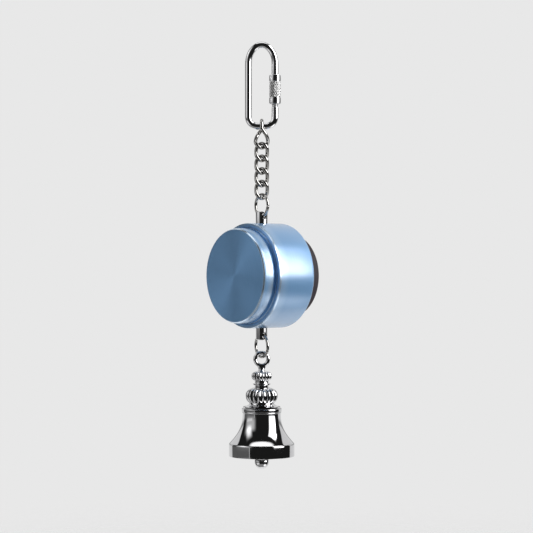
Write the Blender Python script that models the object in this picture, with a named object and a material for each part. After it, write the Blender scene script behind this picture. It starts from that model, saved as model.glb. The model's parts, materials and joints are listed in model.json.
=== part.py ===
"""Hanging bell toy for a pet bird, in metres with +Z up.

A screw-sleeve quick link carries a curb chain, a turned aluminium drum and a bell with a clapper.
The origin is the hang point, at the inside top of the quick link, and the toy hangs along -Z at rest.
"""

import math

import bmesh
import bpy
from mathutils import Vector

# Clearance left wherever two pieces touch or run on each other
GAP = 0.0003

# Quick link: bent rod with a gate in its right leg, closed by a screw sleeve.
# The rise is the height of its arch above the straight legs, the flat the straight run of its foot,
# and the tail its straight leg below the closed sleeve
LINK_ROD = 0.0034
LINK_WIDTH = 0.0167
LINK_RISE = 0.0093
LINK_FLAT = 0.0042
LINK_TAIL = 0.00655
GATE_GAP = 0.0040
SLEEVE_WALL = 0.0009
SLEEVE_LENGTH = 0.0146
SLEEVE_TRAVEL = 0.0053
SLEEVE_EDGE = 0.0004

# Curb chain: each link is twisted, and the top one is longer to go round the quick link's bar.
# The inside and the opening are a link's clear length and clear width
CHAIN_COUNT = 5
CHAIN_WIRE = 0.0019
CHAIN_INSIDE = 0.0066
CHAIN_OPENING = 0.0037
CHAIN_TURN = math.radians(45)
TOP_LINK_INSIDE = 0.0119
TOP_LINK_PLAY = 0.0009
TOP_LINK_TURN = math.radians(90)

# Jump rings, one above the drum and one below it, each with a cut seam
RING_WIRE = 0.0015
RING_OPENING = 0.0097
RING_TURN = math.radians(-58)
UPPER_SEAM = math.radians(94)
LOWER_SEAM = math.radians(112)

# Cross-drilled posts, each with a threaded shank held by a saddle washer and a nut inside the drum
POST_DIAMETER = 0.0060
POST_HEIGHT = 0.0059
POST_EDGE = 0.0003
POST_WEB = 0.0008
POST_HOLE_EDGE = 0.0003
SHANK_DIAMETER = 0.0040
SHANK_PAST_NUT = 0.0010
WASHER_DIAMETER = 0.0088
WASHER_HEIGHT = 0.0016
NUT_ACROSS_FLATS = 0.0070
NUT_HEIGHT = 0.0032

# Drum: a turned cup with its open end to the front, its axis level.
# The room is the clear length between the cap's spigot and the washers
DRUM_TURN = math.radians(51)
DRUM_DIAMETER = 0.0524
DRUM_LENGTH = 0.0221
DRUM_WALL = 0.0022
DRUM_WEB = 0.0020
DRUM_LEDGE = 0.0057
DRUM_FRONT_EDGE = 0.0003
DRUM_FRONT_TAPER = 0.0010
DRUM_REAR_EDGE = 0.0012
POST_ROOM = 0.0012

# Front cap: a turned plug with a proud face, a narrow neck and a hollow spigot in the drum's bore
CAP_STEP = 0.0026
CAP_PROUD = 0.0078
CAP_EDGE = 0.0008
CAP_NECK_DEPTH = 0.0008
CAP_NECK_LENGTH = 0.0020
CAP_SPIGOT_LENGTH = 0.0040
CAP_SPIGOT_WALL = 0.0037
CAP_FACE_THICKNESS = 0.0031

# Rear plug: a rubber bung snapped into the hole in the drum's rear wall
PLUG_COVER = 0.0022
PLUG_PROUD = 0.0080
PLUG_EDGE = 0.0010
PLUG_SNAP = 0.0012
PLUG_LIP_LENGTH = 0.0020

# Bell crown: an eye on a stack of turned beads, tapped from below
EYE_OPENING = 0.0043
EYE_WIRE = 0.0021
STEM_DIAMETER = 0.0052
STEM_LENGTH = 0.0018
SMALL_BEAD_DIAMETER = 0.0102
SMALL_BEAD_HEIGHT = 0.0046
THROAT_DIAMETER = 0.0070
THROAT_LENGTH = 0.0013
COLLAR_DIAMETER = 0.0088
COLLAR_HEIGHT = 0.0010
LOWER_THROAT_LENGTH = 0.0013
BIG_BEAD_DIAMETER = 0.0160
BIG_BEAD_HEIGHT = 0.0074
FOOT_NECK_DIAMETER = 0.0122
FOOT_DIAMETER = 0.0186
FOOT_HEIGHT = 0.0025

# Bell shell: a thin-walled casting with a flat top, a flared waist and a deep lip band
SHELL_WALL = 0.0018
SHELL_TOP_THICKNESS = 0.0027
SHELL_TOP_EDGE = 0.0017
SHELL_TOP_CHAMFER = 0.0004
SHELL_TOP_OVERHANG = 0.00045
SHELL_GROOVE_DEPTH = 0.00035
SHELL_GROOVE_WIDTH = 0.0004
SHELL_WAIST_DIAMETER = 0.0191
SHELL_FLARE_HEIGHT = 0.0152
WAIST_PULL = 0.0112
LIP_PULL = 0.0028
LIP_DIAMETER = 0.0328
LIP_HEIGHT = 0.0062
LIP_EDGE = 0.0004

# Clapper: a ball on an eyed rod, hung on the eye bolt that clamps the crown to the shell
BOLT_SHANK = 0.0040
BOLT_LENGTH = 0.0085
BOLT_COLLAR_DIAMETER = 0.0070
BOLT_COLLAR_HEIGHT = 0.0015
LOOP_WIRE = 0.0014
LOOP_OPENING = 0.0024
CLAPPER_ROD = 0.0016
CLAPPER_BALL = 0.0073
CLAPPER_LENGTH = 0.0184
BALL_BORE_DEPTH = 0.0040

# Flat facets round a wire and round a turned piece, and steps along each kind of curve
WIRE_SIDES_FINE = 4
WIRE_SIDES = 2
TORUS_SIDES = 10
SEGMENTS_LARGE = 48
SEGMENTS = 32
SEGMENTS_SMALL = 24
ARCH_STEPS = 16
CORNER_STEPS = 7
LINK_END_STEPS = 8
LINK_LEG_STEPS = 5
RING_STEPS = 30
EDGE_STEPS = 4
BEAD_STEPS = 4
FLARE_STEPS = 11
BALL_STEPS = 9
MERGE = 1e-7
SMOOTH_BELOW = math.radians(35)


# Modelling helpers


def finish(obj, material):
    """Gives a piece its material and smooth shading, with its edges left sharp."""
    obj.data.materials.append(material)
    if obj.type == "MESH":
        obj.data.shade_smooth()
        obj.data.set_sharp_from_angle(angle=SMOOTH_BELOW)
    return obj


def add(name, data, place):
    """A new object at a place in the world."""
    obj = bpy.data.objects.new(name, data)
    bpy.context.scene.collection.objects.link(obj)
    obj.location = place
    return obj


def carry(carrier, *pieces):
    """Parents pieces to the frame that moves them, leaving them where they are."""
    bpy.context.view_layer.update()
    for piece in pieces:
        piece.parent = carrier
        piece.matrix_parent_inverse = carrier.matrix_world.inverted()


def material(name, colour, roughness, metallic):
    """A Principled material of one colour."""
    new = bpy.data.materials.new(name)
    new.use_nodes = True
    shader = new.node_tree.nodes["Principled BSDF"]
    shader.inputs["Base Color"].default_value = (*colour, 1.0)
    shader.inputs["Roughness"].default_value = roughness
    shader.inputs["Metallic"].default_value = metallic
    return new


def arc(centre, radii, start, end, steps):
    """Points on an ellipse from one angle to another, both ends included."""
    span = [start + (end - start) * i / steps for i in range(steps + 1)]
    return [(centre[0] + radii[0] * math.cos(a), centre[1] + radii[1] * math.sin(a)) for a in span]


def curve_between(first, pull_first, last, pull_last, steps):
    """Points on a cubic curve whose two ends both run downwards, pulled by the given lengths."""
    ends = [Vector(first), Vector(first) - Vector((0, pull_first))]
    ends += [Vector(last) + Vector((0, pull_last)), Vector(last)]
    points = []
    for i in range(steps + 1):
        t = i / steps
        weights = ((1 - t) ** 3, 3 * t * (1 - t) ** 2, 3 * t * t * (1 - t), t**3)
        point = sum((end * weight for end, weight in zip(ends, weights)), Vector((0, 0)))
        points.append(tuple(point))
    return points


def offset_inwards(points, wall):
    """The outline of the inner side of a wall, from the outline of its outer side."""
    inner = []
    for i, point in enumerate(points):
        run = Vector(points[min(i + 1, len(points) - 1)]) - Vector(points[max(i - 1, 0)])
        run.normalize()
        inner.append((point[0] + run.y * wall, point[1] - run.x * wall))
    return inner


def turned(name, outline, segments, place, turn=(0, 0, 0)):
    """A solid turned about its local Z from (radius, height) points. An outline off the axis is closed."""
    shape = bmesh.new()
    verts = [shape.verts.new((radius, 0, height)) for radius, height in outline]
    pairs = list(zip(verts, verts[1:]))
    if min(outline[0][0], outline[-1][0]) > 0:
        pairs.append((verts[-1], verts[0]))
    edges = [shape.edges.new(pair) for pair in pairs]
    bmesh.ops.spin(
        shape,
        geom=verts + edges,
        cent=(0, 0, 0),
        axis=(0, 0, 1),
        angle=math.tau,
        steps=segments,
        use_merge=True,
    )
    bmesh.ops.remove_doubles(shape, verts=shape.verts, dist=MERGE)
    bmesh.ops.recalc_face_normals(shape, faces=shape.faces)
    mesh = bpy.data.meshes.new(name)
    shape.to_mesh(mesh)
    shape.free()
    obj = add(name, mesh, place)
    obj.rotation_euler = turn
    return obj


def rod(name, radius, bottom, top, segments, place, turn=(0, 0, 0)):
    """A plain round bar along its local Z."""
    outline = [(0, top), (radius, top), (radius, bottom), (0, bottom)]
    return turned(name, outline, segments, place, turn)


def torus(name, opening, thickness, place, turn):
    """A closed round ring of wire with the given clear opening."""
    outline = arc(((opening + thickness) / 2, 0), (thickness / 2, thickness / 2), 0, math.tau, TORUS_SIDES)
    return turned(name, outline[:-1], SEGMENTS_SMALL, place, turn)


def wire(name, points, diameter, closed, sides, place):
    """A round wire along points given in the world, with its origin at a place."""
    curve = bpy.data.curves.new(name, "CURVE")
    curve.dimensions = "3D"
    curve.bevel_depth = diameter / 2
    curve.bevel_resolution = sides
    curve.use_fill_caps = True
    spline = curve.splines.new("POLY")
    spline.points.add(len(points) - 1)
    for knot, point in zip(spline.points, points):
        knot.co = (*(Vector(point) - Vector(place)), 1.0)
    spline.use_cyclic_u = closed
    spline.use_smooth = True
    return add(name, curve, place)


def boolean(obj, operation, helper):
    """Cuts a piece with a hidden helper, or joins or trims it to one."""
    modifier = obj.modifiers.new(helper.name, "BOOLEAN")
    modifier.operation = operation
    modifier.solver = "EXACT"
    modifier.object = helper
    helper.hide_render = True
    helper.display_type = "WIRE"
    if helper.parent is None:
        carry(obj, helper)


for old in list(bpy.data.objects):
    bpy.data.objects.remove(old, do_unlink=True)

CHROME = material("polished_chrome", (0.78, 0.78, 0.80), 0.08, 1.0)
NICKEL = material("nickel_plate", (0.62, 0.61, 0.59), 0.16, 1.0)
BLUE = material("blue_anodised_aluminium", (0.16, 0.30, 0.46), 0.34, 1.0)
RUBBER = material("charcoal_rubber", (0.045, 0.040, 0.045), 0.55, 0.0)
BELL = material("bell_plating", (0.60, 0.60, 0.61), 0.06, 1.0)
STEEL = material("zinc_plated_steel", (0.52, 0.52, 0.50), 0.32, 1.0)


# Quick link: the rod runs from the gate's upper end, round the arch and the foot, to its lower end

leg = (LINK_WIDTH - LINK_ROD) / 2
corner = leg - LINK_FLAT / 2
arch_height = LINK_ROD / 2 - LINK_RISE
sleeve_top = arch_height - GAP - SLEEVE_TRAVEL
sleeve_bottom = sleeve_top - SLEEVE_LENGTH
gate_top = sleeve_bottom + SLEEVE_TRAVEL + GAP
gate_bottom = gate_top - GATE_GAP
corner_height = sleeve_bottom - LINK_TAIL
bar_height = corner_height - corner

route = [(leg, gate_top)]
route += arc((0, arch_height), (leg, LINK_RISE), 0, math.pi, ARCH_STEPS)
route += arc((corner - leg, corner_height), (corner, corner), math.pi, 1.5 * math.pi, CORNER_STEPS)
route += arc((leg - corner, corner_height), (corner, corner), 1.5 * math.pi, math.tau, CORNER_STEPS)
route += [(leg, gate_bottom)]
quick_link_rod = wire(
    "quick_link_rod", [(x, 0, z) for x, z in route], LINK_ROD, False, WIRE_SIDES_FINE, (0, 0, 0)
)
finish(quick_link_rod, CHROME)

sleeve_bore = LINK_ROD / 2 + GAP
sleeve_radius = sleeve_bore + SLEEVE_WALL
quick_link_sleeve = turned(
    "quick_link_sleeve",
    [
        (sleeve_bore, 0),
        (sleeve_radius - SLEEVE_EDGE, 0),
        (sleeve_radius, -SLEEVE_EDGE),
        (sleeve_radius, SLEEVE_EDGE - SLEEVE_LENGTH),
        (sleeve_radius - SLEEVE_EDGE, -SLEEVE_LENGTH),
        (sleeve_bore, -SLEEVE_LENGTH),
    ],
    SEGMENTS_SMALL,
    (leg, 0, sleeve_top),
)
finish(quick_link_sleeve, CHROME)
carry(quick_link_rod, quick_link_sleeve)


# Curb chain: link centrelines are stadium shapes, twisted about the hanging line


def link_route(top, inside, opening, top_turn, bottom_turn, held):
    """The centreline of one link, which starts to twist after the held length below its top."""
    half = (inside + CHAIN_WIRE) / 2
    side = (opening + CHAIN_WIRE) / 2
    straight = half - side
    legs = [straight * (1 - 2 * i / LINK_LEG_STEPS) for i in range(1, LINK_LEG_STEPS)]
    flat = arc((0, straight), (side, side), math.pi, 0, LINK_END_STEPS)
    flat += [(side, height) for height in legs]
    flat += arc((0, -straight), (side, side), 0, -math.pi, LINK_END_STEPS)
    flat += [(-side, -height) for height in legs]
    points = []
    for x, z in flat:
        share = max(0, half - z - held) / (2 * half - held)
        turn = top_turn + (bottom_turn - top_turn) * share
        points.append((x * math.cos(turn), x * math.sin(turn), top - half + z))
    return points


carrier = quick_link_rod
link_top = bar_height + LINK_ROD / 2 + GAP + CHAIN_WIRE / 2
for number in range(1, CHAIN_COUNT + 1):
    if number == 1:
        inside = TOP_LINK_INSIDE
        opening = LINK_ROD + TOP_LINK_PLAY
        top_turn = -TOP_LINK_TURN
        held = LINK_ROD + CHAIN_WIRE / 2
        pivot = bar_height
    else:
        inside = CHAIN_INSIDE
        opening = CHAIN_OPENING
        top_turn = -CHAIN_TURN
        held = 0
        # Even links swing on the wire they hang from, and odd links about their own top wire
        pivot = link_bottom if number % 2 == 0 else link_top
    chain_link = wire(
        f"chain_link_{number}",
        link_route(link_top, inside, opening, top_turn, CHAIN_TURN, held),
        CHAIN_WIRE,
        True,
        WIRE_SIDES,
        (0, 0, pivot),
    )
    finish(chain_link, NICKEL)
    carry(carrier, chain_link)
    carrier = chain_link
    link_bottom = link_top - inside - CHAIN_WIRE
    link_top = link_bottom + CHAIN_WIRE + GAP


# Jump rings: the wire bends through a straight hole in the post, so the hole allows for its rise

ring_radius = (RING_OPENING + RING_WIRE) / 2
hole_half_length = POST_DIAMETER / 2 - POST_HOLE_EDGE
ring_level = math.sqrt(ring_radius**2 - hole_half_length**2)
ring_rise = ring_radius - ring_level
post_hole = RING_WIRE / 2 * (1 + ring_radius / ring_level) + ring_rise + 2 * GAP
ring_seat = (post_hole - RING_WIRE) / 2 - GAP
hole_inset = post_hole / 2 + POST_WEB


def jump_ring(name, centre, seam, pivot):
    """An open ring standing in the plane of the post holes, its seam an angle clockwise from the top."""
    cut = GAP / ring_radius
    points = []
    for i in range(RING_STEPS + 1):
        swing = seam + cut / 2 + (math.tau - cut) * i / RING_STEPS
        reach = ring_radius * math.sin(swing)
        level = centre + ring_radius * math.cos(swing)
        points.append((reach * math.cos(RING_TURN), reach * math.sin(RING_TURN), level))
    return finish(wire(name, points, RING_WIRE, False, WIRE_SIDES, (0, 0, pivot)), NICKEL)


upper_ring_top = link_bottom + (CHAIN_WIRE + RING_WIRE) / 2 + GAP
upper_ring = jump_ring("upper_ring", upper_ring_top - ring_radius, UPPER_SEAM, link_bottom)
carry(carrier, upper_ring)
upper_hole = upper_ring_top - 2 * ring_radius + ring_seat


# Drum: its frame's local Z is the front of its level axis, and its origin is under the upper hole

drum_radius = DRUM_DIAMETER / 2
bore_radius = drum_radius - DRUM_WALL
rear_hole = bore_radius - DRUM_LEDGE
drum_height = upper_hole + hole_inset - POST_HEIGHT - drum_radius
drum_turn = (math.pi / 2, 0, -DRUM_TURN)
drum_centre = (0, 0, drum_height)
drum_front = CAP_SPIGOT_LENGTH + POST_ROOM + WASHER_DIAMETER / 2
drum_rear = drum_front - DRUM_LENGTH

drum_pivot = add("drum_pivot", None, (0, 0, upper_hole))
carry(upper_ring, drum_pivot)

drum_body = turned(
    "drum_body",
    [
        (bore_radius, drum_front),
        (drum_radius - DRUM_FRONT_EDGE, drum_front),
        (drum_radius, drum_front - DRUM_FRONT_TAPER),
        *arc(
            (drum_radius - DRUM_REAR_EDGE, drum_rear + DRUM_REAR_EDGE),
            (DRUM_REAR_EDGE, DRUM_REAR_EDGE),
            0,
            -math.pi / 2,
            EDGE_STEPS,
        ),
        (rear_hole, drum_rear),
        (rear_hole, drum_rear + DRUM_WEB),
        (bore_radius, drum_rear + DRUM_WEB),
    ],
    SEGMENTS_LARGE,
    drum_centre,
    drum_turn,
)
finish(drum_body, BLUE)

cap_radius = drum_radius - CAP_STEP
cap_neck_radius = cap_radius - CAP_NECK_DEPTH
cap_spigot_radius = bore_radius - GAP
cap_hollow_radius = cap_spigot_radius - CAP_SPIGOT_WALL
cap_face = drum_front + CAP_PROUD
cap_neck = drum_front + CAP_NECK_LENGTH
cap_end = drum_front - CAP_SPIGOT_LENGTH
front_cap = turned(
    "front_cap",
    [
        (0, cap_face),
        (cap_radius - CAP_EDGE, cap_face),
        (cap_radius, cap_face - CAP_EDGE),
        (cap_radius, cap_neck),
        (cap_neck_radius, cap_neck),
        (cap_neck_radius, drum_front),
        (cap_spigot_radius, drum_front),
        (cap_spigot_radius, cap_end),
        (cap_hollow_radius, cap_end),
        (cap_hollow_radius, cap_face - CAP_FACE_THICKNESS),
        (0, cap_face - CAP_FACE_THICKNESS),
    ],
    SEGMENTS_LARGE,
    drum_centre,
    drum_turn,
)
finish(front_cap, BLUE)

plug_radius = rear_hole + PLUG_COVER
plug_neck = rear_hole - GAP
plug_lip = drum_rear + DRUM_WEB + GAP
plug_end = drum_rear - PLUG_PROUD
rear_plug = turned(
    "rear_plug",
    [
        (0, plug_lip + PLUG_LIP_LENGTH),
        (plug_neck, plug_lip + PLUG_LIP_LENGTH),
        (plug_neck + PLUG_SNAP, plug_lip),
        (plug_neck, plug_lip),
        (plug_neck, drum_rear - GAP),
        (plug_radius, drum_rear - GAP),
        *arc(
            (plug_radius - PLUG_EDGE, plug_end + PLUG_EDGE),
            (PLUG_EDGE, PLUG_EDGE),
            0,
            -math.pi / 2,
            EDGE_STEPS,
        ),
        (0, plug_end),
    ],
    SEGMENTS_LARGE,
    drum_centre,
    drum_turn,
)
finish(rear_plug, RUBBER)
carry(drum_pivot, drum_body, front_cap, rear_plug)


# Posts: the upper one stands on the drum, and the lower one is the same set turned upside down

post_radius = POST_DIAMETER / 2
post_base = drum_radius + GAP
post_top = drum_radius + POST_HEIGHT
shank_radius = SHANK_DIAMETER / 2
shank_hole = shank_radius + GAP
washer_radius = WASHER_DIAMETER / 2
washer_bottom = bore_radius - GAP - WASHER_HEIGHT
nut_top = washer_bottom - GAP
nut_bottom = nut_top - NUT_HEIGHT
nut_radius = NUT_ACROSS_FLATS / 2 / math.cos(math.pi / 6)
shank_end = nut_bottom - SHANK_PAST_NUT
mouth = post_radius + GAP
mouth_radius = post_hole / 2 + POST_HOLE_EDGE + GAP

for side, turn in (("upper", (0, 0, 0)), ("lower", (math.pi, 0, 0))):
    post = turned(
        f"{side}_post",
        [
            (0, post_top),
            (post_radius - POST_EDGE, post_top),
            (post_radius, post_top - POST_EDGE),
            (post_radius, post_base),
            (shank_radius, post_base),
            (shank_radius, shank_end),
            (0, shank_end),
        ],
        SEGMENTS_SMALL,
        drum_centre,
        turn,
    )
    hole_height = (post_top - hole_inset) * math.cos(turn[0]) + drum_height
    cross_hole = turned(
        f"{side}_cross_hole",
        [
            (0, mouth),
            (mouth_radius, mouth),
            (post_hole / 2, hole_half_length),
            (post_hole / 2, -hole_half_length),
            (mouth_radius, -mouth),
            (0, -mouth),
        ],
        SEGMENTS_SMALL,
        (0, 0, hole_height),
        (0, math.pi / 2, RING_TURN),
    )
    boolean(post, "DIFFERENCE", cross_hole)
    finish(post, CHROME)

    wall_hole = rod(
        f"{side}_wall_hole", shank_hole, shank_end, post_top, SEGMENTS_SMALL, drum_centre, turn
    )
    boolean(drum_body, "DIFFERENCE", wall_hole)

    washer = turned(
        f"{side}_post_washer",
        [
            (shank_hole, bore_radius),
            (washer_radius, bore_radius),
            (washer_radius, washer_bottom),
            (shank_hole, washer_bottom),
        ],
        SEGMENTS_SMALL,
        drum_centre,
        turn,
    )
    saddle = rod(
        f"{side}_saddle", bore_radius - GAP, drum_rear, drum_front, SEGMENTS_LARGE, drum_centre, drum_turn
    )
    boolean(washer, "INTERSECT", saddle)
    finish(washer, STEEL)

    nut = rod(f"{side}_post_nut", nut_radius, nut_bottom, nut_top, 6, drum_centre, turn)
    boolean(nut, "DIFFERENCE", wall_hole)
    finish(nut, STEEL)
    carry(drum_pivot, post, washer, nut)


# Lower ring: hung in the lower post, mirroring the upper one

lower_hole = drum_height - post_top + hole_inset
lower_ring_top = lower_hole + ring_seat
lower_ring = jump_ring("lower_ring", lower_ring_top - ring_radius, LOWER_SEAM, lower_hole)
carry(drum_pivot, lower_ring)
lower_ring_bottom = lower_ring_top - 2 * ring_radius


# Bell crown: its outline is stacked downwards from the eye's centre, and the bell swings on the eye

eye_radius = (EYE_OPENING + EYE_WIRE) / 2
eye_height = lower_ring_bottom + (RING_WIRE + EYE_WIRE) / 2 + GAP - eye_radius
bell_pivot = add("bell_pivot", None, (0, 0, eye_height + eye_radius))
carry(lower_ring, bell_pivot)


def bead(top, height, top_radius, bottom_radius, widest):
    """A rounded bead that swells from one radius to its widest and back to another."""
    middle = top - height / 2
    upper = arc((top_radius, middle), (widest - top_radius, height / 2), math.pi / 2, 0, BEAD_STEPS)
    lower = arc((bottom_radius, middle), (widest - bottom_radius, height / 2), 0, -math.pi / 2, BEAD_STEPS)
    return upper + lower[1:]


stem_radius = STEM_DIAMETER / 2
throat_radius = THROAT_DIAMETER / 2
foot_neck = FOOT_NECK_DIAMETER / 2
foot_radius = FOOT_DIAMETER / 2
stem_top = -EYE_OPENING / 2 - EYE_WIRE
small_bead_top = stem_top - STEM_LENGTH
throat_top = small_bead_top - SMALL_BEAD_HEIGHT
collar_top = throat_top - THROAT_LENGTH
collar_bottom = collar_top - COLLAR_HEIGHT
big_bead_top = collar_bottom - LOWER_THROAT_LENGTH
foot_top = big_bead_top - BIG_BEAD_HEIGHT
crown_bottom = foot_top - FOOT_HEIGHT
shell_top = crown_bottom - GAP
shell_ceiling = shell_top - SHELL_TOP_THICKNESS
bolt_hole = BOLT_SHANK / 2 + GAP
bolt_seat = shell_ceiling - GAP
bolt_top = bolt_seat + BOLT_LENGTH

bell_crown = turned(
    "bell_crown",
    [
        (0, stem_top + EYE_WIRE / 2),
        *arc((0, stem_top), (stem_radius, EYE_WIRE / 2), math.pi / 2, 0, EDGE_STEPS)[1:],
        *bead(small_bead_top, SMALL_BEAD_HEIGHT, stem_radius, throat_radius, SMALL_BEAD_DIAMETER / 2),
        (throat_radius, collar_top),
        (COLLAR_DIAMETER / 2, collar_top),
        (COLLAR_DIAMETER / 2, collar_bottom),
        (throat_radius, collar_bottom),
        *bead(big_bead_top, BIG_BEAD_HEIGHT, throat_radius, foot_neck, BIG_BEAD_DIAMETER / 2),
        *arc(
            (foot_radius, foot_top),
            (foot_radius - foot_neck, FOOT_HEIGHT),
            math.pi,
            1.5 * math.pi,
            EDGE_STEPS,
        )[1:],
        (bolt_hole, crown_bottom),
        (bolt_hole, bolt_top + GAP),
        (0, bolt_top + GAP),
    ],
    SEGMENTS_SMALL,
    (0, 0, eye_height),
)
crown_eye = torus("crown_eye", EYE_OPENING, EYE_WIRE, (0, 0, eye_height), (math.pi / 2, 0, 0))
boolean(bell_crown, "UNION", crown_eye)
finish(bell_crown, BELL)


# Bell shell: the wall keeps its thickness along the flare

waist_radius = SHELL_WAIST_DIAMETER / 2
top_radius = waist_radius + SHELL_TOP_OVERHANG
groove_radius = waist_radius - SHELL_GROOVE_DEPTH
lip_radius = LIP_DIAMETER / 2
groove_top = shell_top - SHELL_TOP_EDGE
groove_bottom = groove_top - SHELL_GROOVE_WIDTH
flare_top = groove_bottom - SHELL_GROOVE_DEPTH
lip_top = flare_top - SHELL_FLARE_HEIGHT
lip_bottom = lip_top - LIP_HEIGHT
flare = curve_between((waist_radius, flare_top), WAIST_PULL, (lip_radius, lip_top), LIP_PULL, FLARE_STEPS)
hollow = [point for point in offset_inwards(flare, SHELL_WALL) if point[1] < shell_ceiling]

bell_shell = turned(
    "bell_shell",
    [
        (bolt_hole, shell_top),
        (top_radius - SHELL_TOP_CHAMFER, shell_top),
        (top_radius, shell_top - SHELL_TOP_CHAMFER),
        (top_radius, groove_top),
        (groove_radius, groove_top),
        (groove_radius, groove_bottom),
        *flare,
        (lip_radius, lip_bottom + LIP_EDGE),
        (lip_radius - LIP_EDGE, lip_bottom),
        (lip_radius - SHELL_WALL, lip_bottom),
        *reversed(hollow),
        (waist_radius - SHELL_WALL, shell_ceiling),
        (bolt_hole, shell_ceiling),
    ],
    SEGMENTS,
    (0, 0, eye_height),
)
finish(bell_shell, BELL)


# Clapper: the bolt's loop stands across the rod's loop, which swings on its lower wire

loop_radius = (LOOP_OPENING + LOOP_WIRE) / 2
collar_end = bolt_seat - BOLT_COLLAR_HEIGHT
bolt_loop = collar_end - loop_radius
swing_height = eye_height + bolt_loop - loop_radius
rod_loop = LOOP_WIRE + GAP - loop_radius

clapper_eye_bolt = turned(
    "clapper_eye_bolt",
    [
        (0, bolt_top),
        (BOLT_SHANK / 2, bolt_top),
        (BOLT_SHANK / 2, bolt_seat),
        (BOLT_COLLAR_DIAMETER / 2, bolt_seat),
        (BOLT_COLLAR_DIAMETER / 2, collar_end),
        (0, collar_end),
    ],
    SEGMENTS_SMALL,
    (0, 0, eye_height),
)
hanging_loop = torus(
    "hanging_loop", LOOP_OPENING, LOOP_WIRE, (0, 0, eye_height + bolt_loop), (0, math.pi / 2, 0)
)
boolean(clapper_eye_bolt, "UNION", hanging_loop)
finish(clapper_eye_bolt, STEEL)
carry(bell_pivot, bell_crown, bell_shell, clapper_eye_bolt)

clapper_pivot = add("clapper_pivot", None, (0, 0, swing_height))
carry(bell_pivot, clapper_pivot)
ball_radius = CLAPPER_BALL / 2
ball_centre = -CLAPPER_LENGTH
bore_floor = ball_centre + ball_radius - BALL_BORE_DEPTH
ball_bore = CLAPPER_ROD / 2 + GAP
bore_angle = math.acos(ball_bore / ball_radius)

clapper_rod = rod(
    "clapper_rod",
    CLAPPER_ROD / 2,
    bore_floor + GAP,
    rod_loop - loop_radius,
    SEGMENTS_SMALL // 2,
    (0, 0, swing_height),
)
swinging_loop = torus(
    "swinging_loop", LOOP_OPENING, LOOP_WIRE, (0, 0, swing_height + rod_loop), (math.pi / 2, 0, 0)
)
boolean(clapper_rod, "UNION", swinging_loop)
finish(clapper_rod, STEEL)

clapper_ball = turned(
    "clapper_ball",
    [
        (0, bore_floor),
        (ball_bore, bore_floor),
        *arc((0, ball_centre), (ball_radius, ball_radius), bore_angle, -math.pi / 2, BALL_STEPS)[:-1],
        (0, ball_centre - ball_radius),
    ],
    SEGMENTS_SMALL,
    (0, 0, swing_height),
)
finish(clapper_ball, BELL)
carry(clapper_pivot, clapper_rod, clapper_ball)
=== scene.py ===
import json
import math

import bpy
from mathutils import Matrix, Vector


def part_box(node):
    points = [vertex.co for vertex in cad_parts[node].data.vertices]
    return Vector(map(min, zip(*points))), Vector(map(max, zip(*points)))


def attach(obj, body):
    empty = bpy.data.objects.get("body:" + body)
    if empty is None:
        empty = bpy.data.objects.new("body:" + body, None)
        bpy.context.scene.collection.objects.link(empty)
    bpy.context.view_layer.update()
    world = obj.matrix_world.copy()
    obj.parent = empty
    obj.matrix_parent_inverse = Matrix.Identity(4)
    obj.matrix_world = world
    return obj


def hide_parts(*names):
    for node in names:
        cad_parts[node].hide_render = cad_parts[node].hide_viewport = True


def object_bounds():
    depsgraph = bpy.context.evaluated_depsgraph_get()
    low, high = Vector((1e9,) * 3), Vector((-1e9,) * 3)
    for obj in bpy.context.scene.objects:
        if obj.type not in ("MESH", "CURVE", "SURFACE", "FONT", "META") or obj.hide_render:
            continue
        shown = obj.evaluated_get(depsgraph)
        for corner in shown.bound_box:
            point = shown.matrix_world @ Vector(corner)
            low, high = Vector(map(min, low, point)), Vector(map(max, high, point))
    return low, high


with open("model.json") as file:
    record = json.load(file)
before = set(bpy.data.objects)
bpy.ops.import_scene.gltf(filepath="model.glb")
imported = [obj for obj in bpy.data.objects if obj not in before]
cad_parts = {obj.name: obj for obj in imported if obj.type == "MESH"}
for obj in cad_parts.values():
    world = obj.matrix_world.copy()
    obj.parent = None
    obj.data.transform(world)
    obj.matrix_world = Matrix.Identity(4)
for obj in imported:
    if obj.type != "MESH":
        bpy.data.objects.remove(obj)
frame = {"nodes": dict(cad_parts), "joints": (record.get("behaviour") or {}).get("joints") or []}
cad_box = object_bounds()


# Quick link: a steel rod bent into a long loop and chrome plated, from which the toy hangs.
# Its two ends face each other across a gate in the right leg, and each is cut with a thread.
# The plating is a mirror with faint smudges and very fine rubs.

GATE = 0.0040
GATE_PLAY = 0.0003
LINK_RISE = 0.0093
LINK_CORNER = 0.00455
LINK_THREAD = 0.0036
LINK_THREAD_ROWS = 54
LINK_THREAD_DEPTH = 0.00022
LINK_PITCH = 0.0006
LINK_TIP = (0.84, 0.88, 0.92, 0.96)
ARCH_STEPS = 64
CORNER_STEPS = 28
ROD_SIDES = 32
WIRE_WELD = 1e-7
PAINTED_SHADE_SHARE = 0.66


def sweep(centre, radius, start, end, steps):
    """Points on an arc, from one angle to another in degrees."""
    angles = [math.radians(start + (end - start) * i / steps) for i in range(steps + 1)]
    return [(centre[0] + radius * math.cos(a), centre[1] + radius * math.sin(a)) for a in angles]


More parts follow.
